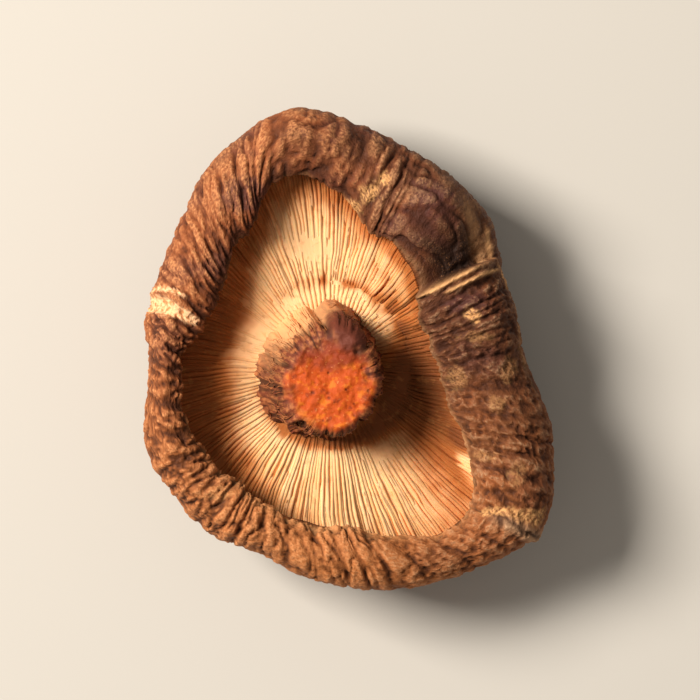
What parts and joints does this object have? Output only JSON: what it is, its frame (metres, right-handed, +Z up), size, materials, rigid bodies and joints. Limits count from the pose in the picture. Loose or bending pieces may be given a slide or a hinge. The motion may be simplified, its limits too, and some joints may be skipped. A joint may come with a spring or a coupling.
{
  "type": "dried shiitake mushroom",
  "caption": "Whole dried shiitake mushroom resting on its domed cap, with an in-rolled pleated margin, radiating gills and a short cut stem facing up.",
  "frame": {"origin": "on the resting surface, under the middle of the cap's overall box; the cap lies on a small flat spot there", "axes": "+Z up, from the cap's dome towards the gills and the cut stem; +Y along the cap's longest direction, towards its narrow end; +X across the cap, towards its broad margin"},
  "size_m": [0.0422, 0.0497, 0.02],
  "materials": {
    "cap_skin": "dried brown mushroom skin, leathery, matte, wrinkled into pleats and furrows",
    "gill_flesh": "dried cream gills turning orange brown towards the margin, matte and brittle",
    "stem_flesh": "dried fibrous stem, brown on its sides and orange on its cut end, matte"
  },
  "bodies": {
    "root": {"dried_shiitake": "cap_skin"}
  },
  "joints": []
}
